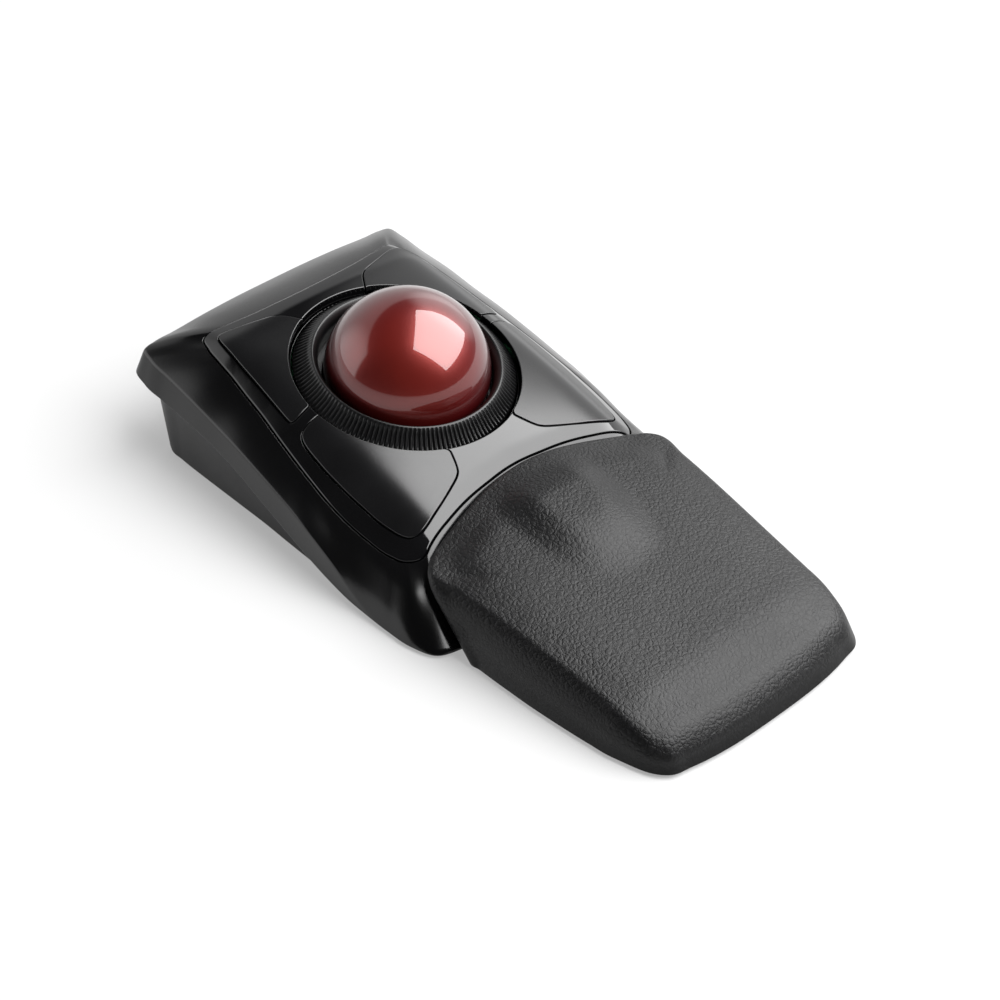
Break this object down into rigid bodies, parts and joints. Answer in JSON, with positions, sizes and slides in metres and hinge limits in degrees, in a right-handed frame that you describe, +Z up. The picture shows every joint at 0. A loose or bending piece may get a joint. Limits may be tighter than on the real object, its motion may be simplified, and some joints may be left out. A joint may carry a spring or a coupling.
{
  "type": "trackball mouse",
  "caption": "Cordless trackball mouse: black wedge body, ribbed scroll ring round a red ball, pressing keys, and a padded wrist rest that slides off.",
  "frame": {"origin": "centre of the whole object on the table plane that the rubber feet stand on", "axes": "+X to the right hand side, +Y to the rear away from the user, +Z up; the wrist rest is at -Y"},
  "size_m": [0.126, 0.2374, 0.0653],
  "materials": {
    "cover_plastic": "satin soft-touch black",
    "housing_plastic": "fine textured dark grey",
    "deck_gloss": "piano black",
    "key_gloss": "semi-gloss black",
    "ring_plastic": "satin black, fine ribs",
    "ball_red": "deep red pearl under clear coat",
    "socket_plastic": "moulded black",
    "bearing_steel": "polished balls",
    "clear_lens": "clear moulded",
    "chip_black": "moulded package",
    "board_green": "lacquered circuit board",
    "switch_black": "moulded",
    "switch_can": "pressed can",
    "slider_red": "moulded",
    "button_grey": "moulded",
    "cell_wrap": "printed wrap, plain",
    "contact_plate": "nickel plated",
    "leatherette": "pebbled, dark grey",
    "tray_plastic": "fine textured dark grey",
    "foot_rubber": "matt",
    "screw_steel": "zinc plated"
  },
  "bodies": {
    "body": {"ball_socket": "socket_plastic", "battery_tray": "switch_black", "bearing_ball_1": "bearing_steel", "bearing_ball_2": "bearing_steel", "bearing_ball_3": "bearing_steel", "cell_left": "cell_wrap", "cell_right": "cell_wrap", "contact_left": "contact_plate", "contact_right": "contact_plate", "controller_chip": "chip_black", "deck_panel": "deck_gloss", "foot_front_left": "foot_rubber", "foot_front_right": "foot_rubber", "foot_rear_left": "foot_rubber", "foot_rear_right": "foot_rubber", "key_switch_front_left": "switch_black", "key_switch_front_right": "switch_black", "key_switch_rear_left": "switch_black", "key_switch_rear_right": "switch_black", "lower_housing": "housing_plastic", "main_board": "board_green", "power_switch_body": "switch_can", "ring_light_fork": "switch_black", "screw_front_left": "screw_steel", "screw_front_right": "screw_steel", "screw_rear_left": "screw_steel", "screw_rear_right": "screw_steel", "sensor_board": "board_green", "sensor_chip": "chip_black", "sensor_lens": "clear_lens", "switch_board_left": "board_green", "switch_board_right": "board_green", "top_cover": "cover_plastic"},
    "ball": {"ball": "ball_red"},
    "ring": {"scroll_ring": "ring_plastic", "encoder_ring": "switch_black"},
    "front_left_key": {"key_front_left": "key_gloss"},
    "front_right_key": {"key_front_right": "key_gloss"},
    "rear_left_key": {"key_rear_left": "key_gloss"},
    "rear_right_key": {"key_rear_right": "key_gloss"},
    "battery_cover": {"battery_door": "housing_plastic"},
    "power_knob": {"power_slider": "slider_red"},
    "connect_key": {"connect_button": "button_grey"},
    "wrist_rest": {"rest_cushion": "leatherette", "rest_tray": "tray_plastic", "rest_foot_front_left": "foot_rubber", "rest_foot_front_right": "foot_rubber", "rest_foot_rear_left": "foot_rubber", "rest_foot_rear_right": "foot_rubber"}
  },
  "joints": [
    {"name": "ball_roll", "type": "hinge", "parent": "body", "child": "ball", "pos_m": [0, 0.04725, 0.0378], "axis": [1, 0, 0], "continuous": true},
    {"name": "ring_turn", "type": "hinge", "parent": "body", "child": "ring", "pos_m": [0, 0.04805, 0.0378], "axis": [0, -0.1668, 0.986], "continuous": true},
    {"name": "front_left_key_press", "type": "slide", "parent": "body", "child": "front_left_key", "axis": [0, 0.1668, -0.986], "range_m": [0, 0.0008], "stiffness_N_per_m": 500, "springref_m": -0.0006},
    {"name": "front_right_key_press", "type": "slide", "parent": "body", "child": "front_right_key", "axis": [0, 0.1668, -0.986], "range_m": [0, 0.0008], "stiffness_N_per_m": 500, "springref_m": -0.0006},
    {"name": "rear_left_key_press", "type": "slide", "parent": "body", "child": "rear_left_key", "axis": [0, 0.1668, -0.986], "range_m": [0, 0.0008], "stiffness_N_per_m": 500, "springref_m": -0.0006},
    {"name": "rear_right_key_press", "type": "slide", "parent": "body", "child": "rear_right_key", "axis": [0, 0.1668, -0.986], "range_m": [0, 0.0008], "stiffness_N_per_m": 500, "springref_m": -0.0006},
    {"name": "battery_cover_slide", "type": "slide", "parent": "body", "child": "battery_cover", "axis": [0, -1, 0], "range_m": [0, 0.0075]},
    {"name": "power_slide", "type": "slide", "parent": "body", "child": "power_knob", "axis": [1, 0, 0], "range_m": [0, 0.006]},
    {"name": "connect_press", "type": "slide", "parent": "body", "child": "connect_key", "axis": [0, 0, 1], "range_m": [0, 0.0006], "stiffness_N_per_m": 300, "springref_m": -0.0004},
    {"name": "wrist_rest_slide", "type": "slide", "parent": "body", "child": "wrist_rest", "axis": [0, -1, 0], "range_m": [0, 0.018]}
  ]
}
